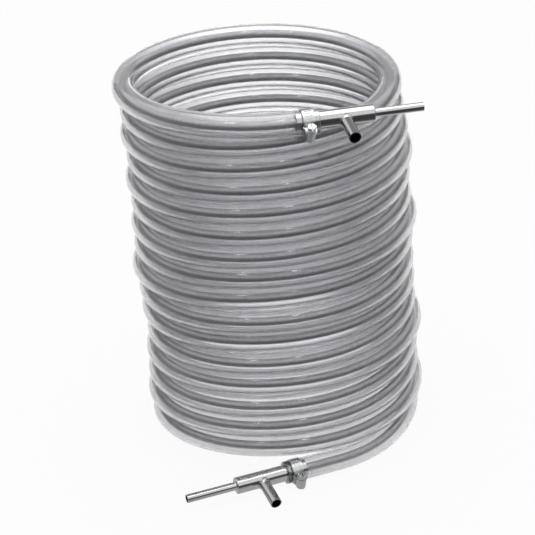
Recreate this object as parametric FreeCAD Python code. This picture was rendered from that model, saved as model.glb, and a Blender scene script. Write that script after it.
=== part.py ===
import FreeCAD, Part
import math
import os

# Tube-in-tube wort chiller: a clear hose wound in a free-standing coil, with a steel tube
# inside it for its whole length. A steel tee in each end of the hose lets the inner tube
# out through a closed end and gives the space round it a side branch. A worm-drive clamp
# holds each tee. The inner tube is cut at the inner face of each tee's cap, so that its
# free ends are nodes of their own. Millimetres, +Z up, origin on the floor at the foot of
# the coil's axis. The front of the object is -Y.

Vector = FreeCAD.Vector
UP = Vector(0, 0, 1)
FRONT = Vector(0, -1, 0)

# Hose: 3/4 inch bore, 1 inch outside
hose_bore_radius = 19.05 / 2
hose_radius = 25.4 / 2
floor_cut = 0.5

# Inner tube: 3/8 inch stainless, along the middle of the hose's bore
tube_radius = 9.525 / 2
tube_wall = 0.9
top_tube_free = 53.0
bottom_tube_free = 58.0

# Coil: full turns counted from the front, up the coil, anticlockwise from above
turns = 16
coil_radius = 148.0
pitch = 26.3
stack_lean = 0.015
flat_turns = 0.68
settled_turns = 16.0

# Spots where a turn was wound wide (+) or tight (-): turns up the coil, radial step
wound_out = [
    (0.25, -4.0),
    (1.0, 5.0),
    (1.25, 4.0),
    (1.75, 3.0),
    (2.0, 5.0),
    (3.0, 5.0),
    (4.25, 6.0),
    (4.75, -4.0),
    (6.0, -5.0),
    (7.75, 5.5),
    (8.0, -6.0),
    (9.0, -4.0),
    (9.25, 5.5),
    (10.75, -3.0),
    (11.5, -3.5),
    (12.25, 4.0),
    (12.75, -4.0),
    (14.25, -4.0),
    (14.75, -3.0),
    (15.0, 2.0),
    (15.25, -5.0),
    (15.75, 3.0),
]
spot_half_width = 0.25

# Leads: where the hose leaves the circle of the coil and runs straight into its tee
bottom_lead_angle = 20.0
bottom_lead_out = 12.0
bottom_lead_slope = 1.5
bottom_lead_straight = 67.0
top_lead_angle = 11.5
top_lead_out = 14.0
top_lead_slope = 1.2
top_lead_straight = 25.0
lead_out_turns = 0.22
lead_bend_turns = 0.08

# Tee: 3/4 inch body, 1/2 inch branch
tee_radius = hose_bore_radius
tee_wall = 1.2
tee_insert = 24.0
tee_length = 57.0
branch_radius = 12.7 / 2
branch_wall = 0.9
branch_reach = 42.0
branch_place = 28.0
cap_thickness = 2.4
cap_rounding = 1.2
cap_weld_leg = 1.4
branch_weld_leg = 1.3
weld_bite = 0.2
top_branch_below_level = 9.0
bottom_branch_below_level = 9.0

# Hose clamp
clamp_from_mouth = 12.0
band_width = 12.0
band_thickness = 0.65
band_layer_gap = 0.1
band_ramp_angle = 19.0
band_tail_angle = 95.0
slot_length = 7.0
slot_width = 1.3
slot_step_angle = 13.3
slot_slant = 8.0
saddle_half_angle = 28.0
saddle_half_length = 6.0
ear_thickness = 0.75
ear_gap = 0.1
screw_clearance = 0.3
screw_crest_radius = 4.2
screw_root_radius = 3.3
screw_thread_pitch = 3.2
screw_thread_half_length = 4.8
screw_tip_radius = 2.4
screw_tip_end = 8.0
running_gap = 0.05
collar_radius = 5.2
collar_start = 6.9
collar_thickness = 1.2
head_across_flats = 8.0
head_height = 4.5
head_chamfer = 0.6
head_slot_width = 1.3
head_slot_depth = 2.2
housing_tip_end = 7.0
housing_head_end = 6.6
housing_tip_radius = 5.2
housing_head_radius = 6.0
housing_wall = 0.65
foot_thickness = 0.7
top_clamp_below_level = 25.0
bottom_clamp_below_level = 12.0

os.makedirs("parts", exist_ok=True)


def smooth_step(share):
    """Rise smoothly from 0 to 1 as the share goes from 0 to 1, level at both ends."""
    share = min(max(share, 0.0), 1.0)
    return share * share * (3.0 - 2.0 * share)


bottom_lead_turn = bottom_lead_angle / 360.0
top_lead_turn = turns + top_lead_angle / 360.0
rest_height = hose_radius - floor_cut
coil_slope = pitch / (2.0 * math.pi * coil_radius)


def coil_height(turn):
    """Height of the hose's centre: the foot turn lies flat, and the coil evens out above it."""
    whole = math.floor(turn)
    lying = pitch * (whole + smooth_step((turn - whole - flat_turns) / (1.0 - flat_turns)))
    even = pitch * turn
    share = min(max((turn - flat_turns) / (settled_turns - flat_turns), 0.0), 1.0)
    return rest_height + lying + (even - lying) * share


def lead_bend(turns_left, slope):
    """Height gained in the last bend before a lead, which ends at the given slope."""
    share = max(1.0 - turns_left / lead_bend_turns, 0.0)
    return slope * lead_bend_turns * 2.0 * math.pi * coil_radius * share * share / 2.0


def route_point(turn):
    """A point on the coil's centre line."""
    from_bottom = turn - bottom_lead_turn
    from_top = top_lead_turn - turn
    radius = coil_radius
    for place, step in wound_out:
        distance = abs(turn - place) / spot_half_width
        if distance < 1.0:
            radius += step * math.cos(math.pi * distance / 2.0) ** 2
    radius += bottom_lead_out * (1.0 - smooth_step(from_bottom / lead_out_turns))
    radius += top_lead_out * (1.0 - smooth_step(from_top / lead_out_turns))
    height = coil_height(turn)
    height += lead_bend(from_bottom, math.tan(math.radians(bottom_lead_slope)))
    height -= lead_bend(from_top, math.tan(math.radians(top_lead_slope)) + coil_slope)
    lean = stack_lean * (height - rest_height)
    angle = math.radians(360.0 * turn - 90.0)
    return Vector(radius * math.cos(angle) - lean, radius * math.sin(angle), height)


def route_direction(turn):
    """Unit tangent of the centre line, going up the coil."""
    step = 1.0e-4
    direction = route_point(turn + step) - route_point(turn - step)
    return direction.normalize()


def quarter_turns():
    """The turns where the arcs meet: the two leads and each quarter turn from the flat foot's end."""
    stops = [bottom_lead_turn]
    stop = flat_turns - 0.5
    while stop < top_lead_turn - 0.01:
        stops.append(stop)
        stop += 0.25
    stops.append(top_lead_turn)
    return stops


def arc_from(corner, start, end):
    """The arc from start to end whose end tangents meet at corner."""
    chord_middle = (start + end) * 0.5
    rise = corner - chord_middle
    half_chord = (end - start).Length / 2.0
    half_turn = math.atan2(rise.Length, half_chord)
    sagitta = half_chord * math.tan(half_turn / 2.0)
    middle = chord_middle + rise * (sagitta / rise.Length)
    return Part.Arc(start, middle, end)


def biarc(start, start_direction, end, end_direction):
    """Two arcs that leave start and reach end in the given directions and meet smoothly."""
    span = end - start
    both = start_direction + end_direction
    spread = 2.0 * (1.0 - start_direction.dot(end_direction))
    along = span.dot(both)
    reach = (math.sqrt(along * along + spread * span.dot(span)) - along) / spread
    first_corner = start + start_direction * reach
    second_corner = end - end_direction * reach
    meeting = (first_corner + second_corner) * 0.5
    return [arc_from(first_corner, start, meeting), arc_from(second_corner, meeting, end)]


def coil_arcs():
    """The coil's centre line as arcs, two for each quarter turn."""
    stops = quarter_turns()
    arcs = []
    for turn, next_turn in zip(stops, stops[1:]):
        arcs += biarc(
            route_point(turn),
            route_direction(turn),
            route_point(next_turn),
            route_direction(next_turn),
        )
    return arcs


# Straight leads: each starts where the coil ends and points out of the hose
bottom_bend = route_point(bottom_lead_turn)
bottom_out = route_direction(bottom_lead_turn) * -1.0
bottom_mouth = bottom_bend + bottom_out * bottom_lead_straight
top_bend = route_point(top_lead_turn)
top_out = route_direction(top_lead_turn)
top_mouth = top_bend + top_out * top_lead_straight
cap_face = tee_length + cap_thickness
tube_free_start = cap_face + cap_weld_leg
branch_free_start = tee_radius + branch_weld_leg + weld_bite


coil_line = coil_arcs()


def whole_path(past_mouth):
    """Wire along the coil and both leads, to a point past each mouth of the hose."""
    start = bottom_mouth + bottom_out * past_mouth
    end = top_mouth + top_out * past_mouth
    edges = [Part.LineSegment(start, bottom_bend).toShape()]
    edges += [arc.toShape() for arc in coil_line]
    edges.append(Part.LineSegment(top_bend, end).toShape())
    return Part.Wire(edges)


def swept_tube(path, outer, inner):
    """One unbroken tube: a solid pipe shell of the outside, less one of the bore."""
    start = path.Vertexes[0].Point
    direction = path.Edges[0].tangentAt(path.Edges[0].FirstParameter)
    outside, bore = [
        path.makePipeShell([Part.Wire(Part.makeCircle(radius, start, direction))], True, False)
        for radius in (outer, inner)
    ]
    return outside.cut(bore).Solids[0]


def least_gap():
    """Least gap of the hose to itself, on points along the coil, half a turn or more apart."""
    points = []
    for arc in coil_line:
        points += arc.discretize(Number=13)[:-1]
    per_turn = int(round(len(points) / (top_lead_turn - bottom_lead_turn)))
    least = 1.0e9
    for index, point in enumerate(points):
        for other in points[index + per_turn // 2:index + per_turn * 3 // 2]:
            least = min(least, point.distanceToPoint(other))
    return least - 2.0 * hose_radius


def export(shape, node):
    """Write one closed solid, or a group of them, to its own file."""
    if not shape.isValid() or not shape.isClosed():
        print("NOT CLEAN", node)
    shape.exportStep(f"parts/{node}.step")
    print(f"{node}: {len(shape.Solids)} solid, {shape.Volume:.0f} mm3")


# Jacket hose, cut flat where its foot turn rests on the floor
hose_path = whole_path(0.0)
print(f"hose length {hose_path.Length / 1000.0:.3f} m, least gap to itself {least_gap():.2f} mm")
jacket_hose = swept_tube(hose_path, hose_radius, hose_bore_radius)
full_volume = math.pi * (hose_radius ** 2 - hose_bore_radius ** 2) * hose_path.Length
print(f"hose volume over section times length {jacket_hose.Volume / full_volume:.4f}")
below_floor = Part.makeBox(800.0, 800.0, 20.0, Vector(-400.0, -400.0, -20.0))
jacket_hose = jacket_hose.cut(below_floor).Solids[0]
export(jacket_hose, "jacket_hose")

# Inner tube, from cap to cap; its two free ends are made with the tees
tube_path = whole_path(tee_length)
whole_tube = tube_path.Length + 2.0 * cap_thickness + top_tube_free + bottom_tube_free
print(f"inner tube length {tube_path.Length / 1000.0:.3f} m, {whole_tube / 1000.0:.3f} m with its free ends")
inner_tube = swept_tube(tube_path, tube_radius, tube_radius - tube_wall)
export(inner_tube, "inner_tube")


def placed(shape, origin, x_axis, y_axis):
    """Copy of a shape whose own X and Y axes now point along the given ones."""
    z_axis = x_axis.cross(y_axis)
    place = FreeCAD.Placement(origin, FreeCAD.Rotation(x_axis, y_axis, z_axis, "XYZ"))
    moved = shape.copy()
    moved.Placement = place.multiply(shape.Placement)
    return moved


def cylinder(radius, start, end, axis):
    """Cylinder from start to end along an axis through the origin."""
    return Part.makeCylinder(radius, end - start, axis * start, axis)


def ring(outer, inner, start, end, axis):
    """Hollow cylinder about an axis through the origin."""
    return cylinder(outer, start, end, axis).cut(cylinder(inner, start, end, axis))


X_AXIS = Vector(1, 0, 0)
Y_AXIS = Vector(0, 1, 0)
Z_AXIS = Vector(0, 0, 1)


def tee_pieces():
    """The tee about the X axis: x = 0 is the mouth of the hose, +X leads out, the branch is +Y.

    Each weld has bitten into its tube, up to a square edge where the tube's free wall starts.
    """
    branch_base = Vector(branch_place, 0, 0)
    branch_bore = Part.makeCylinder(branch_radius - branch_wall, branch_reach, branch_base, Y_AXIS)
    branch_root = Part.makeCylinder(branch_radius - weld_bite, branch_free_start, branch_base, Y_AXIS)
    branch_free = Part.makeCylinder(branch_radius, branch_reach - branch_free_start,
                                    branch_base + Y_AXIS * branch_free_start, Y_AXIS)
    body_outside = cylinder(tee_radius, -tee_insert, tee_length, X_AXIS)

    body = ring(tee_radius, tee_radius - tee_wall, -tee_insert, tee_length, X_AXIS).cut(branch_bore)
    branch = branch_root.fuse(branch_free).cut(branch_bore).cut(body_outside)

    tube_seat = tube_radius - weld_bite
    cap = ring(tee_radius, tube_seat, tee_length, cap_face, X_AXIS)
    rim = [
        edge for edge in cap.Edges
        if isinstance(edge.Curve, Part.Circle)
        and abs(edge.Curve.Radius - tee_radius) < 1.0e-6
        and edge.Curve.Center.x > cap_face - 1.0e-6
    ]
    cap = cap.makeFillet(cap_rounding, rim)

    # The cap weld's section is a triangle with a hollow long side, turned about the axis
    root = Vector(cap_face, tube_seat, 0)
    toe = Vector(cap_face, tube_radius + cap_weld_leg, 0)
    crown = Vector(tube_free_start, tube_radius, 0)
    edge = Vector(tube_free_start, tube_seat, 0)
    hollow = Vector(cap_face, tube_radius, 0) + Vector(cap_weld_leg, cap_weld_leg, 0) * (1.0 - math.sqrt(0.5))
    section = Part.Wire([
        Part.LineSegment(root, toe).toShape(),
        Part.Arc(toe, hollow, crown).toShape(),
        Part.LineSegment(crown, edge).toShape(),
        Part.LineSegment(edge, root).toShape(),
    ])
    cap_weld = Part.Face(section).revolve(Vector(0, 0, 0), X_AXIS, 360.0)

    # The branch weld follows the saddle where the two tubes meet, and tapers up to the free wall
    bead = Part.makeCylinder(branch_radius + branch_weld_leg, branch_reach, branch_base, Y_AXIS)
    over_body = cylinder(tee_radius + branch_weld_leg, 0.0, tee_length, X_AXIS)
    taper = Part.makeCone(branch_radius + 2.0 * branch_weld_leg, branch_radius, branch_free_start,
                          branch_base, Y_AXIS)
    branch_weld = bead.common(over_body.fuse(taper)).cut(body_outside).cut(branch_root)
    return {
        "tee_body": body,
        "branch_tube": branch,
        "end_cap": cap,
        "cap_weld": cap_weld,
        "branch_weld": branch_weld,
    }


def polar(radius, degrees):
    """Point in the XY plane."""
    angle = math.radians(degrees)
    return Vector(radius * math.cos(angle), radius * math.sin(angle), 0)


def arc_edge(radius, start, end):
    """Arc about the origin in the XY plane, from one angle to another."""
    return Part.Arc(polar(radius, start), polar(radius, (start + end) / 2.0), polar(radius, end)).toShape()


def extruded(edges, width):
    """Closed outline in the XY plane, given a width about that plane."""
    face = Part.Face(Part.Wire(edges))
    face.translate(Vector(0, 0, -width / 2.0))
    return face.extrude(Vector(0, 0, width))


inner_layer = hose_radius + band_thickness
outer_layer = inner_layer + band_layer_gap
band_outside = outer_layer + band_thickness
saddle_top = band_outside + band_layer_gap
screw_axis = band_outside + screw_clearance + screw_crest_radius


def band_slots(first, last, floor_radius):
    """Cutters for the slots between two angles: each crosses the band at a slight slant."""
    cutters = []
    angle = first
    while angle <= last:
        slot = Part.makeBox(
            2.0 * band_thickness + band_layer_gap, slot_width, slot_length,
            Vector(floor_radius, -slot_width / 2.0, -slot_length / 2.0),
        )
        slot.rotate(Vector(0, 0, 0), X_AXIS, slot_slant)
        slot.rotate(Vector(0, 0, 0), Z_AXIS, angle)
        cutters.append(slot)
        angle += slot_step_angle
    return cutters


def clamp_band():
    """One steel strip: once round the hose, up over the saddle, and on as a slotted tail."""
    start = saddle_half_angle
    ramp_end = 360.0 - saddle_half_angle
    ramp_start = ramp_end - band_ramp_angle
    tail_end = 360.0 + saddle_half_angle + band_tail_angle
    edges = [
        Part.LineSegment(polar(inner_layer, start), polar(hose_radius, start)).toShape(),
        arc_edge(hose_radius, start, ramp_start),
        Part.LineSegment(polar(hose_radius, ramp_start), polar(outer_layer, ramp_end)).toShape(),
        arc_edge(outer_layer, ramp_end, tail_end),
        Part.LineSegment(polar(outer_layer, tail_end), polar(band_outside, tail_end)).toShape(),
        arc_edge(band_outside, tail_end, ramp_end),
        Part.LineSegment(polar(band_outside, ramp_end), polar(inner_layer, ramp_start)).toShape(),
        arc_edge(inner_layer, ramp_start, start),
    ]
    band = extruded(edges, band_width)
    tail_slots = band_slots(start + slot_step_angle, tail_end - 360.0 - slot_step_angle, outer_layer)
    round_slots = band_slots(tail_end - 360.0 + slot_step_angle, ramp_start - slot_step_angle,
                             hose_radius - band_thickness)
    return band.cut(tail_slots + round_slots)


def clamp_saddle():
    """Curved plate under the strip, with an ear on each side that carries the housing."""
    plate_edges = [
        arc_edge(hose_radius, -saddle_half_angle, saddle_half_angle),
        Part.LineSegment(polar(hose_radius, saddle_half_angle), polar(inner_layer, saddle_half_angle)).toShape(),
        arc_edge(inner_layer, saddle_half_angle, -saddle_half_angle),
        Part.LineSegment(polar(inner_layer, -saddle_half_angle), polar(hose_radius, -saddle_half_angle)).toShape(),
    ]
    ear_start = band_width / 2.0 + ear_gap
    half_width = ear_start + ear_thickness
    saddle = extruded(plate_edges, 2.0 * half_width)
    hose_space = cylinder(hose_radius, -half_width, half_width, Z_AXIS)
    for side in (ear_start, -half_width):
        ear = Part.makeBox(
            saddle_top - hose_radius / 2.0, 2.0 * saddle_half_length, ear_thickness,
            Vector(hose_radius / 2.0, -saddle_half_length, side),
        )
        saddle = saddle.fuse(ear.cut(hose_space))
    return saddle.removeSplitter()


def arch(radius, place, foot):
    """Outline across the screw: a half circle over it, with straight legs down to the foot."""
    left = Vector(foot, place, -radius)
    left_top = Vector(screw_axis, place, -radius)
    crown = Vector(screw_axis + radius, place, 0)
    right_top = Vector(screw_axis, place, radius)
    right = Vector(foot, place, radius)
    return Part.Wire([
        Part.LineSegment(left, left_top).toShape(),
        Part.Arc(left_top, crown, right_top).toShape(),
        Part.LineSegment(right_top, right).toShape(),
        Part.LineSegment(right, left).toShape(),
    ])


def clamp_housing():
    """Tapered tunnel over the screw, with an end wall at each end and a foot on each ear."""
    inside_tip = -housing_tip_end + housing_wall
    inside_head = housing_head_end - housing_wall
    outside = Part.makeLoft([
        arch(housing_tip_radius, -housing_tip_end, saddle_top),
        arch(housing_head_radius, housing_head_end, saddle_top),
    ], True, True)
    inside = Part.makeLoft([
        arch(housing_tip_radius - housing_wall, inside_tip, saddle_top - foot_thickness),
        arch(housing_head_radius - housing_wall, inside_head, saddle_top - foot_thickness),
    ], True, True)
    half_width = band_width / 2.0 + ear_gap + ear_thickness
    foot = Part.makeBox(
        foot_thickness, 2.0 * saddle_half_length, 2.0 * half_width,
        Vector(saddle_top, -saddle_half_length, -half_width),
    )
    screw_line = Vector(screw_axis, 0, 0)
    tip_hole = Part.makeCylinder(screw_tip_radius + running_gap, 2.0 * housing_tip_end,
                                 screw_line - Y_AXIS * (2.0 * housing_tip_end), Y_AXIS)
    neck_hole = Part.makeCylinder(screw_root_radius + running_gap, 2.0 * housing_head_end,
                                  screw_line, Y_AXIS)
    housing = outside.fuse(foot).cut(inside).cut(tip_hole).cut(neck_hole)
    return housing.removeSplitter()


def clamp_screw():
    """Worm screw along Y: tip, threaded middle, neck, collar and slotted hexagon head."""
    head_start = collar_start + collar_thickness
    head_end = head_start + head_height
    screw = cylinder(screw_root_radius, -screw_thread_half_length, collar_start, Y_AXIS)
    screw = screw.fuse(cylinder(screw_tip_radius, -screw_tip_end, -screw_thread_half_length, Y_AXIS))
    screw = screw.fuse(cylinder(collar_radius, collar_start, head_start, Y_AXIS))

    corner_radius = head_across_flats / math.sqrt(3.0)
    corners = [
        Vector(corner_radius * math.cos(math.radians(60.0 * side)), head_start,
               corner_radius * math.sin(math.radians(60.0 * side)))
        for side in range(7)
    ]
    hexagon = Part.Face(Part.makePolygon(corners)).extrude(Y_AXIS * head_height)
    crown = Part.makeCone(
        corner_radius + head_height, corner_radius - head_chamfer, head_height + head_chamfer,
        Y_AXIS * (head_start - head_chamfer), Y_AXIS,
    )
    head = hexagon.common(crown)
    driver_slot = Part.makeBox(
        2.0 * corner_radius, head_slot_depth, head_slot_width,
        Vector(-corner_radius, head_end - head_slot_depth, -head_slot_width / 2.0),
    )
    screw = screw.fuse(head).cut(driver_slot)

    # The worm's ridge: a trapezium swept once along a helix, its foot sunk in the core
    ridge_root = screw_root_radius - 0.2
    ridge_length = 2.0 * screw_thread_half_length - screw_thread_pitch
    helix = Part.makeHelix(screw_thread_pitch, ridge_length, ridge_root)
    foot = screw_thread_pitch * 0.3
    crest = screw_thread_pitch * 0.14
    ridge_section = Part.makePolygon([
        Vector(ridge_root, 0, -foot),
        Vector(screw_crest_radius, 0, -crest),
        Vector(screw_crest_radius, 0, crest),
        Vector(ridge_root, 0, foot),
        Vector(ridge_root, 0, -foot),
    ])
    ridge = Part.Wire(helix.Edges).makePipeShell([ridge_section], True, True)
    ridge.rotate(Vector(0, 0, 0), X_AXIS, -90.0)
    ridge.translate(Y_AXIS * (-ridge_length / 2.0))
    screw = screw.fuse(ridge).removeSplitter()
    screw.translate(Vector(screw_axis, 0, 0))
    return screw


def clamp_pieces():
    """The clamp about the Z axis, with its screw on the +X side and the screw's head towards +Y."""
    return {
        "clamp_band": clamp_band(),
        "clamp_saddle": clamp_saddle(),
        "clamp_housing": clamp_housing(),
        "clamp_screw": clamp_screw(),
    }


def build_end(name, mouth, out, tube_free, branch_below_level, clamp_below_level):
    """Write the tube end, the tee and the clamp of one end of the hose, each in its own file."""
    level_front = (FRONT - out * FRONT.dot(out)).normalize()
    rise = out.cross(level_front)
    if rise.dot(UP) < 0.0:
        rise = rise * -1.0
    branch_tilt = math.radians(branch_below_level)
    branch_out = level_front * math.cos(branch_tilt) - rise * math.sin(branch_tilt)
    for piece, shape in tee.items():
        export(placed(shape, mouth, out, branch_out), f"{name}_{piece}")
    tube_end = cap_face + tube_free
    tube_outside = cylinder(tube_radius - weld_bite, tee_length, tube_free_start, X_AXIS)
    tube_outside = tube_outside.fuse(cylinder(tube_radius, tube_free_start, tube_end, X_AXIS))
    free_tube = tube_outside.cut(cylinder(tube_radius - tube_wall, tee_length, tube_end, X_AXIS))
    export(placed(free_tube, mouth, out, branch_out), f"{name}_tube_end")

    clamp_tilt = math.radians(clamp_below_level)
    clamp_centre = mouth - out * clamp_from_mouth
    to_screw = level_front * math.cos(clamp_tilt) - rise * math.sin(clamp_tilt)
    to_head = level_front * math.sin(clamp_tilt) + rise * math.cos(clamp_tilt)
    for piece, shape in clamp.items():
        export(placed(shape, clamp_centre, to_screw, to_head), f"{name}_{piece}")

    branch_end = mouth + out * branch_place + branch_out * branch_reach
    screw_centre = clamp_centre + to_screw * screw_axis
    print(f"{name} tube end {mouth + out * tube_end}, pointing {out}")
    print(f"{name} branch end {branch_end}, pointing {branch_out}")
    print(f"{name} screw centre {screw_centre}, head towards {to_head}")


tee = tee_pieces()
clamp = clamp_pieces()
build_end("top", top_mouth, top_out, top_tube_free, top_branch_below_level, top_clamp_below_level)
build_end("bottom", bottom_mouth, bottom_out, bottom_tube_free, bottom_branch_below_level,
          bottom_clamp_below_level)
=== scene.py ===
"""Looks of a tube-in-tube wort chiller: a clear hose wound in a coil round a steel tube.

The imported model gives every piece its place. This script adds the wound hose and the steel
tube inside it, puts smooth copies in the place of the fittings, finishes every piece, and
sets the floor, light and camera. Lengths are metres, +Z is up, and the front is -Y.
"""

from __future__ import annotations

import logging
import math
from dataclasses import dataclass, field
from enum import Enum

import bmesh
import bpy
import numpy as np
from mathutils import Matrix, Vector

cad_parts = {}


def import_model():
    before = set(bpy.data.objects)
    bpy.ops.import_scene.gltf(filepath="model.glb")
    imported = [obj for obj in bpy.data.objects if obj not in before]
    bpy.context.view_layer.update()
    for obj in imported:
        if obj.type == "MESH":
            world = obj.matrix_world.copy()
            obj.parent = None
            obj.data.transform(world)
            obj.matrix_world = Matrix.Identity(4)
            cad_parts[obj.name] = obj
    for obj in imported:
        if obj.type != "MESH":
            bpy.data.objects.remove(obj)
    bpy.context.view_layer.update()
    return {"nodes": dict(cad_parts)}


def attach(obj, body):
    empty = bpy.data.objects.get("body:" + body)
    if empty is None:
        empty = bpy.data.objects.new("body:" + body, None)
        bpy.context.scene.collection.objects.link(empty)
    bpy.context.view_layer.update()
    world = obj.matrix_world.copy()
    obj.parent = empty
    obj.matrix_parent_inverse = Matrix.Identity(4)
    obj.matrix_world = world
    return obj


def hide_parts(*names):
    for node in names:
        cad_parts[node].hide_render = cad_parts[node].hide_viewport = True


LOG = logging.getLogger("chiller")
WORLD_UP = np.array([0.0, 0.0, 1.0])


class Slot(Enum):
    """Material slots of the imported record."""

    HOSE = "clear_hose"
    TUBE = "tube_steel"
    POLISHED = "polished_steel"
    WELD = "weld_bead"
    BAND = "band_steel"
    HOUSING = "housing_steel"
    SCREW = "screw_steel"


def smooth_step(share: np.ndarray) -> np.ndarray:
    """Rise smoothly from 0 to 1 as the share goes from 0 to 1, level at both ends."""
    share = np.clip(share, 0.0, 1.0)
    return share * share * (3.0 - 2.0 * share)


def unit(vectors: np.ndarray) -> np.ndarray:
    """Each row divided by its length."""
    return vectors / np.linalg.norm(vectors, axis=-1, keepdims=True)


def rows_dot(first: np.ndarray, second: np.ndarray) -> np.ndarray:
    """Scalar product of each pair of rows, kept as a column."""
    return np.sum(first * second, axis=-1, keepdims=True)


@dataclass(frozen=True)
class Path:
    """Points along a line, with the unit direction and the distance travelled at each."""

    points: np.ndarray
    directions: np.ndarray
    travelled: np.ndarray

    def section_axes(self) -> tuple[np.ndarray, np.ndarray]:
        """Level and rising unit vectors across the line at each point.

        Returns:
            The level axis, which points away from the coil's axis, and the rising one.
        """
        level = unit(np.cross(self.directions, WORLD_UP))
        return level, np.cross(level, self.directions)


@dataclass(frozen=True)
class CoilRoute:
    """Centre line of the wound hose, counted in turns from the front, up the coil."""

    turns: float = 16.0
    radius: float = 0.148
    pitch: float = 0.0263
    lean: float = 0.015
    rest_height: float = 0.0122
    flat_turns: float = 0.68
    settled_turns: float = 16.0
    spot_half_width: float = 0.25
    spots: tuple[tuple[float, float], ...] = (
        (0.25, -0.004), (1.0, 0.005), (1.25, 0.004), (1.75, 0.003), (2.0, 0.005), (3.0, 0.005),
        (4.25, 0.006), (4.75, -0.004), (6.0, -0.005), (7.75, 0.0055), (8.0, -0.006), (9.0, -0.004),
        (9.25, 0.0055), (10.75, -0.003), (11.5, -0.0035), (12.25, 0.004), (12.75, -0.004),
        (14.25, -0.004), (14.75, -0.003), (15.0, 0.002), (15.25, -0.005), (15.75, 0.003),
    )
    bottom_angle: float = 20.0
    bottom_out: float = 0.012
    bottom_slope: float = 1.5
    bottom_straight: float = 0.067
    top_angle: float = 11.5
    top_out: float = 0.014
    top_slope: float = 1.2
    top_straight: float = 0.025
    out_turns: float = 0.22
    bend_turns: float = 0.08
    stop_spacing: float = 0.25
    steps_per_arc: int = 7
    steps_per_lead: int = 12

    @property
    def first_turn(self) -> float:
        """Turn at which the coil leaves the bottom lead."""
        return self.bottom_angle / 360.0

    @property
    def last_turn(self) -> float:
        """Turn at which the coil goes over into the top lead."""
        return self.turns + self.top_angle / 360.0

    def height(self, turn: np.ndarray) -> np.ndarray:
        """Height of the line: the foot turn lies flat, and the coil evens out above it.

        A lying turn is level, then climbs one pitch along a smooth step in its last part. An
        even turn climbs steadily. The share of the even one grows from 0 to 1 up the coil.

        Args:
            turn: Places as turns up the coil.

        Returns:
            The height at each place, before the leads' bends.
        """
        whole = np.floor(turn)
        climbed = smooth_step((turn - whole - self.flat_turns) / (1.0 - self.flat_turns))
        lying = self.pitch * (whole + climbed)
        even = self.pitch * turn
        share = np.clip((turn - self.flat_turns) / (self.settled_turns - self.flat_turns), 0.0, 1.0)
        return self.rest_height + lying + (even - lying) * share

    def bend(self, turns_left: np.ndarray, slope: float) -> np.ndarray:
        """Height gained in the last bend before a lead, which ends at the given slope."""
        share = np.clip(1.0 - turns_left / self.bend_turns, 0.0, None)
        return slope * self.bend_turns * 2.0 * math.pi * self.radius * share * share / 2.0

    def point(self, turn: np.ndarray) -> np.ndarray:
        """Places on the centre line.

        The radius is the coil's own, plus a bulge or dent at each spot and the outward run
        towards each lead. The height comes from the turns, the bends and the lean.

        Args:
            turn: Places as turns up the coil.

        Returns:
            One row of x, y and z for each turn.
        """
        from_bottom = turn - self.first_turn
        from_top = self.last_turn - turn
        radius = np.full_like(turn, self.radius)
        for place, step in self.spots:
            distance = np.minimum(np.abs(turn - place) / self.spot_half_width, 1.0)
            radius = radius + step * np.cos(math.pi * distance / 2.0) ** 2
        radius = radius + self.bottom_out * (1.0 - smooth_step(from_bottom / self.out_turns))
        radius = radius + self.top_out * (1.0 - smooth_step(from_top / self.out_turns))
        coil_slope = self.pitch / (2.0 * math.pi * self.radius)
        height = self.height(turn) + self.bend(from_bottom, math.tan(math.radians(self.bottom_slope)))
        height = height - self.bend(from_top, math.tan(math.radians(self.top_slope)) + coil_slope)
        lean = self.lean * (height - self.rest_height)
        angle = np.radians(360.0 * turn - 90.0)
        return np.stack([radius * np.cos(angle) - lean, radius * np.sin(angle), height], axis=-1)

    def direction(self, turn: np.ndarray) -> np.ndarray:
        """Unit tangents of the centre line, going up the coil."""
        step = 1.0e-4
        return unit(self.point(turn + step) - self.point(turn - step))

    def path(self, past_mouth: float) -> Path:
        """The whole line: bottom lead, two arcs for each quarter turn, top lead.

        Each pair of arcs leaves one quarter turn in its direction, reaches the next one in
        its direction, and meets smoothly in between. A point on an arc is its start, plus
        the radius times the sine of the angle turned along the first direction, plus the
        radius times one less its cosine towards the centre.

        Args:
            past_mouth: How far the line goes on past each mouth of the hose.

        Returns:
            The line from the bottom end to the top end.
        """
        first_stop = self.flat_turns - 2.0 * self.stop_spacing
        too_near_the_end = 0.01
        stops = np.arange(first_stop, self.last_turn - too_near_the_end, self.stop_spacing)
        stops = np.concatenate([[self.first_turn], stops, [self.last_turn]])
        places, aims = self.point(stops), self.direction(stops)
        start, end, leave, reach = places[:-1], places[1:], aims[:-1], aims[1:]
        span, both = end - start, leave + reach
        spread = 2.0 * (1.0 - rows_dot(leave, reach))
        along = rows_dot(span, both)
        arm = (np.sqrt(along * along + spread * rows_dot(span, span)) - along) / spread
        first_corner, second_corner = start + leave * arm, end - reach * arm
        meeting = (first_corner + second_corner) / 2.0
        middle = unit(second_corner - first_corner)
        arcs = [self.arc(start, leave, middle, arm), self.arc(meeting, middle, reach, arm)]
        points = np.stack([arc[0] for arc in arcs], axis=1).reshape(-1, 3)
        directions = np.stack([arc[1] for arc in arcs], axis=1).reshape(-1, 3)
        points = np.concatenate([points, places[-1:]])
        directions = np.concatenate([directions, aims[-1:]])
        return self.with_leads(points, directions, past_mouth)

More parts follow.
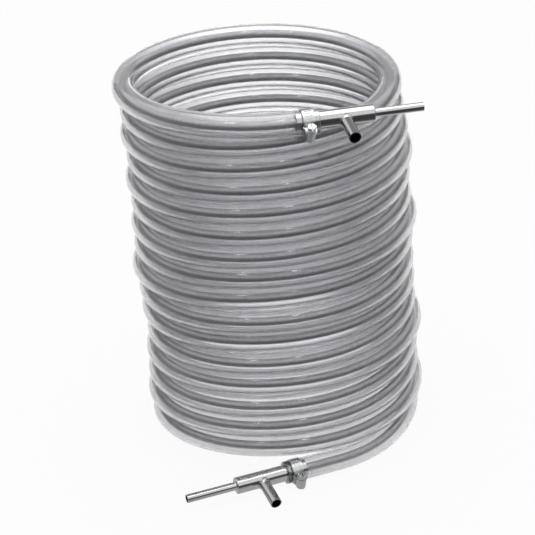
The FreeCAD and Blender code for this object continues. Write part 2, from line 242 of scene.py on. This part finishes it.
    def arc(
        self, start: np.ndarray, leave: np.ndarray, reach: np.ndarray, arm: np.ndarray
    ) -> tuple[np.ndarray, np.ndarray]:
        """Points and directions along one arc of each pair, without its last point.

        Args:
            start: Where each arc starts.
            leave: The direction in which it starts.
            reach: The direction in which it ends.
            arm: Distance from its start to the corner that it rounds.

        Returns:
            The points and the directions, each as arcs by steps by 3.
        """
        cosine = rows_dot(leave, reach)
        turned = np.arccos(np.clip(cosine, -1.0, 1.0))
        inward = unit(reach - leave * cosine)
        radius = (arm / np.tan(turned / 2.0))[:, None, :]
        share = (np.arange(self.steps_per_arc) / self.steps_per_arc)[None, :, None]
        angle = turned[:, None, :] * share
        leave, inward = leave[:, None, :], inward[:, None, :]
        points = start[:, None, :] + radius * (np.sin(angle) * leave + (1.0 - np.cos(angle)) * inward)
        return points, np.cos(angle) * leave + np.sin(angle) * inward

    def with_leads(self, points: np.ndarray, directions: np.ndarray, past_mouth: float) -> Path:
        """The coil's line with a straight run added at each end.

        Args:
            points: Points on the coil.
            directions: The direction at each of them.
            past_mouth: How far the line goes on past each mouth of the hose.

        Returns:
            The whole line.
        """
        stations = np.linspace(1.0, 0.0, self.steps_per_lead, endpoint=False)[:, None]
        low_out, high_out = -directions[0], directions[-1]
        low = points[0] + low_out * (self.bottom_straight + past_mouth) * stations
        high = points[-1] + high_out * (self.top_straight + past_mouth) * stations[::-1]
        points = np.concatenate([low, points, high])
        low_directions = np.repeat(directions[:1], len(low), axis=0)
        high_directions = np.repeat(directions[-1:], len(high), axis=0)
        directions = np.concatenate([low_directions, directions, high_directions])
        steps = np.linalg.norm(np.diff(points, axis=0), axis=1)
        return Path(points, directions, np.concatenate([[0.0], np.cumsum(steps)]))


def grid_mesh(name: str, grid: np.ndarray, uv: np.ndarray) -> bpy.types.Object:
    """A mesh from a grid of points that is closed both ways, like a ring.

    Row and column i join to i + 1, and the last to the first. The faces are turned
    outwards by the sign of the enclosed volume.

    Args:
        name: Name of the new object.
        grid: Points, rows by columns by 3.
        uv: Place of each point along and round the surface, rows by columns by 2.

    Returns:
        The object, linked to the scene, with smooth faces and a map named along_round.
    """
    rows, columns = grid.shape[:2]
    index = np.arange(rows * columns).reshape(rows, columns)
    down = np.roll(index, -1, axis=0)
    faces = np.stack(
        [index, np.roll(index, -1, axis=1), np.roll(down, -1, axis=1), down], axis=-1
    ).reshape(-1, 4)
    points = grid.reshape(-1, 3)
    a, b, c, d = (points[faces[:, corner]] for corner in range(4))
    volume = np.sum(np.cross(a, b) * c) + np.sum(np.cross(a, c) * d)
    if volume < 0.0:
        faces = faces[:, ::-1]
    mesh = bpy.data.meshes.new(name)
    mesh.vertices.add(len(points))
    mesh.vertices.foreach_set("co", points.astype(np.float32).ravel())
    mesh.loops.add(faces.size)
    mesh.loops.foreach_set("vertex_index", faces.astype(np.int32).ravel())
    mesh.polygons.add(len(faces))
    mesh.polygons.foreach_set("loop_start", np.arange(0, faces.size, 4, dtype=np.int32))
    mesh.polygons.foreach_set("use_smooth", np.ones(len(faces), bool))
    mesh.update(calc_edges=True)
    corner_uv = uv.reshape(-1, 2)[faces.ravel()]
    column_of = faces % columns
    wraps = (column_of.max(axis=1) - column_of.min(axis=1)) > 1
    last_round = uv[0, -1, 1] + uv[0, 1, 1] - uv[0, 0, 1]
    at_seam = np.repeat(wraps, 4) & (column_of.ravel() == 0)
    corner_uv[at_seam, 1] = last_round
    layer = mesh.uv_layers.new(name="along_round")
    layer.data.foreach_set("uv", corner_uv.astype(np.float32).ravel())
    piece = bpy.data.objects.new(name, mesh)
    bpy.context.scene.collection.objects.link(piece)
    return piece


def swept_wall(
    name: str, path: Path, outer: np.ndarray, inner: np.ndarray, columns: int, floor: bool
) -> bpy.types.Object:
    """A tube wall: a circle of the outer radius carried up the path, and one of the inner back.

    Args:
        name: Name of the new object.
        path: Centre line.
        outer: Outside radius at each point of the path.
        inner: Inside radius at each point of the path.
        columns: Points round the circle.
        floor: True if what would be below the floor is pressed flat on it.

    Returns:
        The object, which is one closed shell.
    """
    level, rising = path.section_axes()
    angle = 2.0 * math.pi * np.arange(columns) / columns
    across = (
        np.cos(angle)[None, :, None] * level[:, None, :] + np.sin(angle)[None, :, None] * rising[:, None, :]
    )
    centre = path.points[:, None, :]
    outside = centre + across * outer[:, None, None]
    bore = centre + across * inner[:, None, None]
    grid = np.concatenate([outside, bore[::-1]])
    if floor:
        grid[..., 2] = np.maximum(grid[..., 2], 0.0)
    along = np.concatenate([path.travelled, path.travelled[::-1]])[:, None]
    around = (np.arange(columns) / columns)[None, :]
    uv = np.stack(np.broadcast_arrays(along, around), axis=-1)
    return grid_mesh(name, grid, uv)


class Nodes:
    """Shorthand for adding and joining the nodes of one material, group or world."""

    def __init__(self, tree: bpy.types.NodeTree) -> None:
        """Start on an empty tree."""
        self.tree = tree
        tree.nodes.clear()

    def add(self, kind: str, **values: object) -> bpy.types.Node:
        """Add a node.

        Args:
            kind: Node type, without its ShaderNode prefix.
            **values: Node properties, and input values by name with underscores for spaces.

        Returns:
            The node.
        """
        node = self.tree.nodes.new(kind if kind.startswith("Node") else "ShaderNode" + kind)
        for key, value in values.items():
            if hasattr(node, key):
                setattr(node, key, value)
            else:
                node.inputs[key.replace("_", " ")].default_value = value
        return node

    def join(self, source: bpy.types.NodeSocket, target: bpy.types.NodeSocket) -> None:
        """Join an output to an input."""
        self.tree.links.new(source, target)

    def value(self, operation: str, *inputs: object) -> bpy.types.NodeSocket:
        """A Math node on sockets and plain numbers.

        Args:
            operation: The node's operation.
            *inputs: A socket or a number for each input.

        Returns:
            The result's socket.
        """
        node = self.add("Math", operation=operation)
        for socket, given in zip(node.inputs, inputs):
            if isinstance(given, bpy.types.NodeSocket):
                self.join(given, socket)
            else:
                socket.default_value = given
        return node.outputs[0]

    def ramp(
        self, source: bpy.types.NodeSocket, low: float, high: float, start: float, end: float
    ) -> bpy.types.NodeSocket:
        """Map a value from one range to another, and hold it there.

        Args:
            source: The value.
            low: Where the value's range starts.
            high: Where it ends.
            start: What low and all below it become.
            end: What high and all above it become.

        Returns:
            The result's socket.
        """
        node = self.add("MapRange", From_Min=low, From_Max=high, To_Min=start, To_Max=end)
        self.join(source, node.inputs["Value"])
        return node.outputs["Result"]

    def marks(
        self, place: bpy.types.NodeSocket, scale: float, colour: tuple[float, float, float],
        depth: float, gloss: float,
    ) -> bpy.types.NodeOutputs:
        """Place the shared group of fine marks.

        Args:
            place: Where on the surface.
            scale: How many marks to the metre.
            colour: The surface's own colour.
            depth: Share by which marks darken it.
            gloss: The surface's own roughness.

        Returns:
            The group's outputs: Colour, Roughness and Height.
        """
        node = self.add("Group", node_tree=marks_group())
        self.join(place, node.inputs["Place"])
        node.inputs["Scale"].default_value = scale
        node.inputs["Colour"].default_value = (*colour, 1.0)
        node.inputs["Depth"].default_value = depth
        node.inputs["Gloss"].default_value = gloss
        return node.outputs


def marks_group() -> bpy.types.NodeTree:
    """Fine marks that change colour, gloss and height over a surface.

    A noise of the given scale darkens the colour by up to the given depth, and makes the
    surface from a little glossier to a little duller than the given roughness.

    Returns:
        The node group, which every finish shares.
    """
    group = bpy.data.node_groups.get("surface_marks")
    if group is not None:
        return group
    group = bpy.data.node_groups.new("surface_marks", "ShaderNodeTree")
    given = (
        ("Place", "Vector"), ("Scale", "Float"), ("Colour", "Color"), ("Depth", "Float"),
        ("Gloss", "Float"),
    )
    made = (("Colour", "Color"), ("Roughness", "Float"), ("Height", "Float"))
    noise_detail = 4.0
    noise_range = (0.3, 0.7)
    gloss_shares = (0.7, 1.4)
    for name, kind in given:
        group.interface.new_socket(name=name, in_out="INPUT", socket_type="NodeSocket" + kind)
    for name, kind in made:
        group.interface.new_socket(name=name, in_out="OUTPUT", socket_type="NodeSocket" + kind)
    nodes = Nodes(group)
    inside = nodes.add("NodeGroupInput").outputs
    noise = nodes.add("TexNoise", Detail=noise_detail)
    nodes.join(inside["Place"], noise.inputs["Vector"])
    nodes.join(inside["Scale"], noise.inputs["Scale"])
    share = nodes.ramp(noise.outputs["Fac"], *noise_range, 0.0, 1.0)
    shaded = nodes.add("VectorMath", operation="SCALE")
    nodes.join(inside["Colour"], shaded.inputs[0])
    darker = nodes.value("MULTIPLY", share, inside["Depth"])
    nodes.join(nodes.value("SUBTRACT", 1.0, darker), shaded.inputs["Scale"])
    gloss_share = nodes.ramp(noise.outputs["Fac"], *noise_range, *gloss_shares)
    dulled = nodes.value("MULTIPLY", gloss_share, inside["Gloss"])
    outside = nodes.add("NodeGroupOutput").inputs
    nodes.join(shaded.outputs[0], outside["Colour"])
    nodes.join(dulled, outside["Roughness"])
    nodes.join(noise.outputs["Fac"], outside["Height"])
    return group


@dataclass(frozen=True)
class ClearHoseFinish:
    """Clear flexible vinyl: a trace of milk and lavender in it, a glossy skin, and a few specks."""

    colour: tuple[float, float, float] = (0.95, 0.95, 0.968)
    clearness: float = 0.965
    roughness: float = 0.11
    refraction: float = 1.52
    skin: float = 1.0
    skin_roughness: float = 0.03
    skin_refraction: float = 1.4
    mark_scale: float = 90.0
    mark_depth: float = 0.03
    speck_spacing: float = 0.011
    speck_radius: float = 0.0007
    speck_share: float = 0.12
    speck_colour: tuple[float, float, float] = (0.62, 0.61, 0.6)
    speck_roughness: float = 0.3

    def material(self) -> bpy.types.Material:
        """The hose's material.

        Returns:
            The material, which reads the place on the piece.
        """
        material = bpy.data.materials.new("clear_hose")
        material.use_nodes = True
        nodes = Nodes(material.node_tree)
        shader = nodes.add("BsdfPrincipled", IOR=self.refraction, Transmission_Weight=self.clearness)
        shader.inputs["Coat Weight"].default_value = self.skin
        shader.inputs["Coat Roughness"].default_value = self.skin_roughness
        shader.inputs["Coat IOR"].default_value = self.skin_refraction
        place = nodes.add("TexCoord").outputs["Object"]
        marks = nodes.marks(place, self.mark_scale, self.colour, self.mark_depth, self.roughness)
        speck = self.specks(nodes, place)
        tint = nodes.add("MixRGB")
        tint.inputs["Color2"].default_value = (*self.speck_colour, 1.0)
        nodes.join(speck, tint.inputs["Fac"])
        nodes.join(marks["Colour"], tint.inputs["Color1"])
        nodes.join(tint.outputs[0], shader.inputs["Base Color"])
        dull = nodes.value("MULTIPLY", speck, self.speck_roughness)
        nodes.join(nodes.value("MAXIMUM", marks["Roughness"], dull), shader.inputs["Roughness"])
        output = nodes.add("OutputMaterial")
        nodes.join(shader.outputs[0], output.inputs["Surface"])
        return material

    def specks(self, nodes: Nodes, place: bpy.types.NodeSocket) -> bpy.types.NodeSocket:
        """A mask of small specks, strewn over the surface.

        The cells of a Voronoi pattern have a speck at their seeds, and a few show theirs.

        Args:
            nodes: The material's nodes.
            place: Where on the surface.

        Returns:
            A socket that is 1 on the specks and 0 between them.
        """
        cells = nodes.add("TexVoronoi", Scale=1.0 / self.speck_spacing)
        nodes.join(place, cells.inputs["Vector"])
        near = nodes.value("LESS_THAN", cells.outputs["Distance"], self.speck_radius / self.speck_spacing)
        chosen = nodes.value("LESS_THAN", cells.outputs["Color"], self.speck_share)
        return nodes.value("MULTIPLY", near, chosen)


@dataclass(frozen=True)
class SteelFinish:
    """Bare steel: its colour and gloss, and the scale, tone and relief of its fine marks."""

    name: str
    colour: tuple[float, float, float]
    roughness: float
    mark_scale: float = 500.0
    mark_relief: float = 0.05
    mark_depth: float = 0.1
    relief_height: float = 0.0002

    def material(self) -> bpy.types.Material:
        """The steel's material.

        Returns:
            The material, which reads the place on the piece.
        """
        material = bpy.data.materials.new(self.name)
        material.use_nodes = True
        nodes = Nodes(material.node_tree)
        shader = nodes.add("BsdfPrincipled", Metallic=1.0)
        place = nodes.add("TexCoord").outputs["Object"]
        marks = nodes.marks(place, self.mark_scale, self.colour, self.mark_depth, self.roughness)
        nodes.join(marks["Colour"], shader.inputs["Base Color"])
        nodes.join(marks["Roughness"], shader.inputs["Roughness"])
        bump = nodes.add("Bump", Strength=self.mark_relief, Distance=self.relief_height)
        nodes.join(marks["Height"], bump.inputs["Height"])
        nodes.join(bump.outputs["Normal"], shader.inputs["Normal"])
        output = nodes.add("OutputMaterial")
        nodes.join(shader.outputs[0], output.inputs["Surface"])
        return material


@dataclass
class ClearHose:
    """The clear hose: one unbroken length, wound in a coil and pressed flat on the floor."""

    route: CoilRoute
    outer_radius: float = 0.0127
    bore_radius: float = 0.009525
    columns: int = 52
    finish: ClearHoseFinish = field(default_factory=ClearHoseFinish)

    def build(self) -> bpy.types.Object:
        """Make the hose and put it in the place of its plain solid.

        Returns:
            The hose.
        """
        path = self.route.path(0.0)
        outer = np.full(len(path.points), self.outer_radius)
        inner = np.full(len(path.points), self.bore_radius)
        hose = swept_wall("clear_hose_wound", path, outer, inner, self.columns, True)
        hose.data.materials.append(self.finish.material())
        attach(hose, "chiller")
        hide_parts("jacket_hose")
        LOG.info("hose %.2f m long, %d faces", path.travelled[-1], len(hose.data.polygons))
        return hose


@dataclass
class InnerTube:
    """The steel tube inside the hose, from cap to cap."""

    route: CoilRoute
    finish: SteelFinish
    outer_radius: float = 0.0047625
    wall: float = 0.0009
    past_mouth: float = 0.057
    columns: int = 32

    def build(self) -> bpy.types.Object:
        """Make the tube and put it in the place of its plain solid.

        Returns:
            The tube.
        """
        path = self.route.path(self.past_mouth)
        outer = np.full(len(path.points), self.outer_radius)
        tube = swept_wall("steel_tube_wound", path, outer, outer - self.wall, self.columns, False)
        tube.data.materials.append(self.finish.material())
        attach(tube, "chiller")
        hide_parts("inner_tube")
        LOG.info("tube %.2f m long, %d faces", path.travelled[-1], len(tube.data.polygons))
        return tube


@dataclass
class Fittings:
    """The tees, welds, tube ends and clamps: smooth copies of their solids, in their finish.

    A finish goes to every node whose name ends with its key.
    """

    nodes: dict[str, bpy.types.Object]
    bodies: dict[str, str]
    finishes: dict[str, tuple[SteelFinish, Slot]]
    sharp_angle: float = 38.0
    merge_distance: float = 1.0e-6

    def build(self) -> list[bpy.types.Object]:
        """Make each copy and put it in the place of its solid.

        Returns:
            The copies.
        """
        made = {ending: (finish.material(), slot) for ending, (finish, slot) in self.finishes.items()}
        pieces = []
        for name, node in self.nodes.items():
            for ending, (material, slot) in made.items():
                if name.endswith(ending):
                    piece = self.smoothed(name, node)
                    piece.data.materials.append(material)
                    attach(piece, self.bodies.get(name, "chiller"))
                    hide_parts(name)
                    pieces.append(piece)
                    count = len(piece.data.polygons)
                    LOG.info("%s, %d faces, %s", piece.name, count, material.name)
        return pieces

    def smoothed(self, name: str, node: bpy.types.Object) -> bpy.types.Object:
        """A copy of a solid whose triangles are joined, smooth but for the edges that turn far.

        Args:
            name: The solid's name.
            node: The solid, which stays as it is.

        Returns:
            The copy, linked to the scene.
        """
        joined = bmesh.new()
        joined.from_mesh(node.data)
        bmesh.ops.remove_doubles(joined, verts=joined.verts[:], dist=self.merge_distance)
        limit = math.radians(self.sharp_angle)
        for face in joined.faces:
            face.smooth = True
        for edge in joined.edges:
            edge.smooth = edge.calc_face_angle(0.0) < limit
        mesh = bpy.data.meshes.new(f"{name}_smooth")
        joined.to_mesh(mesh)
        joined.free()
        piece = bpy.data.objects.new(f"{name}_smooth", mesh)
        bpy.context.scene.collection.objects.link(piece)
        return piece


@dataclass(frozen=True)
class Studio:
    """White floor and surroundings, soft lamps above and behind, two small ones, toned cards.

    The cards show only in metal and in clear vinyl, which take their tones from them: a
    dark front and sides that turn white higher up, a grey backdrop, and a sheet over the floor,
    a painted reflection that goes from painted shade far in front to a painted glow brighter than
    white behind the coil's middle. They keep no light from anything.
    """

    floor_half: float = 8.0
    floor_tone: float = 0.85
    floor_glow: float = 0.93
    floor_mirrored_glow: float = 0.2
    surround_light: float = 0.65
    card_columns: int = 49
    room_radius: float = 4.0
    room_height: float = 2.0
    room_half_angle: float = 150.0
    room_tones: tuple[float, float] = (0.08, 1.0)
    room_edges: tuple[float, float] = (1.2, 2.0)
    backdrop_height: float = 5.0
    backdrop_tones: tuple[float, float] = (0.5, 0.35)
    backdrop_edges: tuple[float, float] = (0.9, 2.2)
    # The sheet over the floor is a painted reflection: its tones paint shade far in front and a glow
    # brighter than white behind the coil's middle.
    painted_reflection_height: float = 0.0012
    painted_reflection_reach: float = 1.0
    painted_reflection_tones: tuple[tuple[float, float], ...] = (
        (-0.6, 0.08), (-0.32, 0.12), (-0.22, 0.4), (-0.1, 0.6), (0.14, 0.8), (0.3, 1.0),
    )
    painted_reflection_middle_share: float = 1.3
    painted_reflection_side_share: float = 0.85
    painted_reflection_middle_reach: tuple[float, float] = (0.13, 0.3)
    back_lamp_level: float = 0.9
    back_lamp_size: tuple[float, float] = (3.0, 0.9)
    back_lamp_gap: float = 0.1
    back_lamp_turn: float = -90.0
    soft_lamp_level: float = 1.4
    soft_lamp_side: float = 2.0
    soft_lamp_place: tuple[float, float, float] = (0.0, 0.3, 2.4)
    small_lamp_level: float = 14.0
    small_lamp_size: tuple[float, float] = (0.16, 0.3)
    small_lamp_turn: float = -30.0
    left_lamp_place: tuple[float, float, float] = (-0.9, -1.1, 2.1)
    right_lamp_place: tuple[float, float, float] = (0.3, -1.1, 2.1)
    wall_crossings: int = 32

    def build(self) -> None:
        """Make the floor, the surroundings, the lamps and the cards.

        Light may cross many walls of the hose, because a line of sight through the coil
        meets four for each strand.
        """
        scene = bpy.context.scene
        scene.view_settings.view_transform = "Standard"
        scene.cycles.max_bounces = self.wall_crossings
        scene.cycles.transmission_bounces = self.wall_crossings
        self.floor()
        self.surroundings()
        self.back_lamp()
        side = self.soft_lamp_side
        self.lamp("soft_lamp", (side, side), self.soft_lamp_level, self.soft_lamp_place, 0.0)
        small = (self.small_lamp_size, self.small_lamp_level)
        self.lamp("left_lamp", *small, self.left_lamp_place, self.small_lamp_turn)
        self.lamp("right_lamp", *small, self.right_lamp_place, self.small_lamp_turn)
        half = self.room_half_angle
        front, back = (-half, half), (half, 360.0 - half)
        self.round_card("dark_room", front, self.room_height, self.room_tones, self.room_edges)
        self.round_card(
            "grey_backdrop", back, self.backdrop_height, self.backdrop_tones, self.backdrop_edges
        )
        self.paint_floor_reflection()

    def stage_piece(
        self, name: str, corners: list[tuple[float, float, float]], faces: list[tuple[int, ...]]
    ) -> bpy.types.Object:
        """A piece of the stage, which isn't part of the object.

        Args:
            name: Its name.
            corners: Its corners.
            faces: The numbers of the corners of each face.

        Returns:
            The piece, linked to the scene.
        """
        mesh = bpy.data.meshes.new(name)
        mesh.from_pydata(corners, [], faces)
        piece = bpy.data.objects.new(name, mesh)
        bpy.context.scene.collection.objects.link(piece)
        return piece

    def square(self, name: str, half: float, height: float) -> bpy.types.Object:
        """A level square of the stage, with its middle over the origin."""
        across = ((-half, -half), (half, -half), (half, half), (-half, half))
        return self.stage_piece(name, [(x, y, height) for x, y in across], [(0, 1, 2, 3)])

    def shown_rays(self, nodes: Nodes) -> bpy.types.NodeSocket:
        """Which rays show things as they look, and don't carry their light to other things.

        Args:
            nodes: The nodes of the material or the world.

        Returns:
            A socket that is 1 for the rays of the camera, of gloss and through glass, else 0.
        """
        seen = nodes.add("LightPath")
        shown = nodes.value("MAXIMUM", seen.outputs["Is Camera Ray"], seen.outputs["Is Glossy Ray"])
        return nodes.value("MAXIMUM", shown, seen.outputs["Is Transmission Ray"])

    def floor(self) -> bpy.types.Object:
        """A wide pale floor that shows nearly white to the camera and keeps the shadow.

        The camera sees mostly an even glow and for the rest the lit floor, with the shadow.
        Metal and glass see a little of the glow.

        Returns:
            The floor.
        """
        floor = self.square("floor", self.floor_half, 0.0)
        material = bpy.data.materials.new("pale_floor")
        material.use_nodes = True
        nodes = Nodes(material.node_tree)
        lit = nodes.add("BsdfDiffuse", Color=(self.floor_tone, self.floor_tone, self.floor_tone, 1.0))
        glow = nodes.add("Emission", Color=(1.0, 1.0, 1.0, 1.0), Strength=1.0)
        mix = nodes.add("MixShader")
        seen = nodes.add("LightPath")
        mirrored = nodes.value("MULTIPLY", self.shown_rays(nodes), self.floor_mirrored_glow)
        direct = nodes.value("MULTIPLY", seen.outputs["Is Camera Ray"], self.floor_glow)
        nodes.join(nodes.value("MAXIMUM", direct, mirrored), mix.inputs[0])
        nodes.join(lit.outputs[0], mix.inputs[1])
        nodes.join(glow.outputs[0], mix.inputs[2])
        output = nodes.add("OutputMaterial")
        nodes.join(mix.outputs[0], output.inputs["Surface"])
        floor.data.materials.append(material)
        return floor

    def surroundings(self) -> None:
        """Surroundings that show white, and light the object at a plain level."""
        world = bpy.data.worlds.new("studio")
        bpy.context.scene.world = world
        world.use_nodes = True
        nodes = Nodes(world.node_tree)
        strength = nodes.ramp(self.shown_rays(nodes), 0.0, 1.0, self.surround_light, 1.0)
        background = nodes.add("Background", Color=(1.0, 1.0, 1.0, 1.0))
        nodes.join(strength, background.inputs["Strength"])
        output = nodes.add("OutputWorld")
        nodes.join(background.outputs[0], output.inputs["Surface"])

    def card_only(self, card: bpy.types.Object) -> None:
        """Let only metal and glass show a card, and let it keep no light from anything.

        Args:
            card: The card.
        """
        card.visible_camera = False
        card.visible_diffuse = False
        card.visible_shadow = False

    def glow(
        self, name: str
    ) -> tuple[bpy.types.Material, Nodes, bpy.types.NodeSocket, bpy.types.NodeOutputs]:
        """A glowing material for a card.

        Args:
            name: Name of the material.

        Returns:
            The material, its nodes, the socket of its strength, and the place as X, Y and Z.
        """
        material = bpy.data.materials.new(name)
        material.use_nodes = True
        nodes = Nodes(material.node_tree)
        tone = nodes.add("Emission", Color=(1.0, 1.0, 1.0, 1.0))
        output = nodes.add("OutputMaterial")
        nodes.join(tone.outputs[0], output.inputs["Surface"])
        place = nodes.add("SeparateXYZ")
        nodes.join(nodes.add("TexCoord").outputs["Object"], place.inputs[0])
        return material, nodes, tone.inputs["Strength"], place.outputs

    def round_card(
        self, name: str, angles: tuple[float, float], height: float, tones: tuple[float, float],
        edges: tuple[float, float],
    ) -> None:
        """An upright card bent round the object.

        Args:
            name: Name of the card.
            angles: Where it starts and ends, in degrees counted from the front.
            height: Its height.
            tones: Its tone at the foot and at the top.
            edges: Heights between which the one goes over into the other.
        """
        turned = np.radians(np.linspace(angles[0], angles[1], self.card_columns))
        outward = np.stack([np.sin(turned), -np.cos(turned), np.zeros_like(turned)], axis=-1)
        foot = outward * self.room_radius
        corners = np.concatenate([foot, foot + WORLD_UP * height])
        count = len(turned)
        faces = [(place, place + 1, place + 1 + count, place + count) for place in range(count - 1)]
        card = self.stage_piece(name, corners.tolist(), faces)
        material, nodes, strength, place = self.glow(name)
        nodes.join(nodes.ramp(place["Z"], *edges, *tones), strength)
        card.data.materials.append(material)
        self.card_only(card)

    def paint_floor_reflection(self) -> None:
        """A sheet over the floor that only metal and clear vinyl show: a painted reflection of the floor,
        with painted shade far in front and a painted glow brighter than white behind the coil's middle,
        less to the sides.
        """
        card = self.square("floor_reflection_paint", self.room_radius, self.painted_reflection_height)
        material, nodes, strength, place = self.glow("floor_reflection_paint")
        share = nodes.ramp(place["Y"], -self.painted_reflection_reach, self.painted_reflection_reach, 0.0, 1.0)
        tones = nodes.add("ValToRGB")
        stops = tones.color_ramp.elements
        while len(stops) < len(self.painted_reflection_tones):
            stops.new(1.0)
        for stop, (where, level) in zip(stops, self.painted_reflection_tones):
            stop.position = (where + self.painted_reflection_reach) / (2.0 * self.painted_reflection_reach)
            stop.color = (level, level, level, 1.0)
        nodes.join(share, tones.inputs[0])
        off_middle = nodes.value("ABSOLUTE", place["X"])
        shares = (self.painted_reflection_middle_share, self.painted_reflection_side_share)
        spread = nodes.ramp(off_middle, *self.painted_reflection_middle_reach, *shares)
        nodes.join(nodes.value("MULTIPLY", tones.outputs["Color"], spread), strength)
        card.data.materials.append(material)
        self.card_only(card)

    def lamp(
        self, name: str, size: tuple[float, float], level: float, place: tuple[float, float, float],
        turn: float,
    ) -> bpy.types.Object:
        """An even rectangular lamp.

        Args:
            name: Name of the lamp.
            size: Its width and length.
            level: How bright it looks, where 1 is white.
            place: Where its middle is.
            turn: How far it is turned round the x axis from shining down, in degrees.

        Returns:
            The lamp.
        """
        data = bpy.data.lights.new(name, "AREA")
        data.shape = "RECTANGLE"
        data.size, data.size_y = size
        data.energy = level * math.pi * size[0] * size[1]
        lamp = bpy.data.objects.new(name, data)
        bpy.context.scene.collection.objects.link(lamp)
        lamp.location = place
        lamp.rotation_euler = (math.radians(turn), 0.0, 0.0)
        lamp.visible_camera = False
        return lamp

    def back_lamp(self) -> None:
        """A wide lamp low in front of the backdrop, which shines forwards through the clear hose."""
        place = (0.0, self.room_radius - self.back_lamp_gap, self.back_lamp_size[1] / 2.0)
        self.lamp("back_lamp", self.back_lamp_size, self.back_lamp_level, place, self.back_lamp_turn)


@dataclass(frozen=True)
class Viewpoint:
    """The camera: where it stands, where it looks and how far it tilts."""

    place: tuple[float, float, float] = (0.0, -1.8, 1.12268)
    yaw: float = -0.00701
    pitch: float = 0.48
    roll: float = 0.06996
    focal_pixels: float = 1738.475
    image_pixels: float = 535.0
    sensor: float = 36.0
    nearest: float = 0.05
    farthest: float = 50.0

    def build(self) -> bpy.types.Object:
        """Make the camera.

        Returns:
            The camera, set as the scene's.
        """
        data = bpy.data.cameras.new("camera")
        data.sensor_width = self.sensor
        data.lens = self.sensor * self.focal_pixels / self.image_pixels
        data.clip_start, data.clip_end = self.nearest, self.farthest
        camera = bpy.data.objects.new("camera", data)
        bpy.context.scene.collection.objects.link(camera)
        ahead = Vector((
            math.sin(self.yaw) * math.cos(self.pitch),
            math.cos(self.yaw) * math.cos(self.pitch),
            -math.sin(self.pitch),
        ))
        level = Vector((math.cos(self.yaw), -math.sin(self.yaw), 0.0))
        above = level.cross(ahead)
        right = level * math.cos(self.roll) - above * math.sin(self.roll)
        upward = level * math.sin(self.roll) + above * math.cos(self.roll)
        turned = Matrix((right, upward, -ahead)).transposed()
        camera.matrix_world = Matrix.Translation(Vector(self.place)) @ turned.to_4x4()
        bpy.context.scene.camera = camera
        return camera


def fitting_finishes() -> dict[str, tuple[SteelFinish, Slot]]:
    """The finish and material slot of each kind of fitting, by the end of its node's name.

    Returns:
        The finishes, from brightly polished tubes to satin clamps.
    """
    end = SteelFinish("tube_end_steel", (0.6, 0.6, 0.61), 0.1, 400.0, 0.03)
    tee = SteelFinish("tee_polished", (0.6, 0.6, 0.61), 0.06, 300.0, 0.02)
    branch = SteelFinish("branch_polished", (0.5, 0.49, 0.49), 0.08, 300.0, 0.02)
    cap = SteelFinish("cap_polished", (0.6, 0.6, 0.61), 0.1, 300.0, 0.03)
    weld = SteelFinish("weld_bead", (0.6, 0.6, 0.61), 0.2, 900.0, 0.2)
    band = SteelFinish("band_steel", (0.66, 0.68, 0.67), 0.25)
    saddle = SteelFinish("saddle_steel", (0.58, 0.6, 0.59), 0.25)
    housing = SteelFinish("housing_steel", (0.52, 0.54, 0.53), 0.25)
    screw = SteelFinish("screw_steel", (0.58, 0.58, 0.59), 0.22)
    return {
        "tube_end": (end, Slot.TUBE),
        "tee_body": (tee, Slot.POLISHED),
        "branch_tube": (branch, Slot.POLISHED),
        "end_cap": (cap, Slot.POLISHED),
        "weld": (weld, Slot.WELD),
        "clamp_band": (band, Slot.BAND),
        "clamp_saddle": (saddle, Slot.BAND),
        "clamp_housing": (housing, Slot.HOUSING),
        "clamp_screw": (screw, Slot.SCREW),
    }


def main() -> None:
    """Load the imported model, build the looks round it and set the stage."""
    logging.basicConfig(level=logging.INFO, format="%(message)s")
    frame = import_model()
    Viewpoint().build()
    Studio().build()
    route = CoilRoute()
    ClearHose(route).build()
    drawn_steel = SteelFinish("tube_drawn", (0.66, 0.66, 0.68), 0.58, 400.0, 0.03)
    InnerTube(route, drawn_steel).build()
    screws = {"top_clamp_screw": "top_screw", "bottom_clamp_screw": "bottom_screw"}
    Fittings(frame["nodes"], screws, fitting_finishes()).build()


if __name__ == "__main__":
    main()
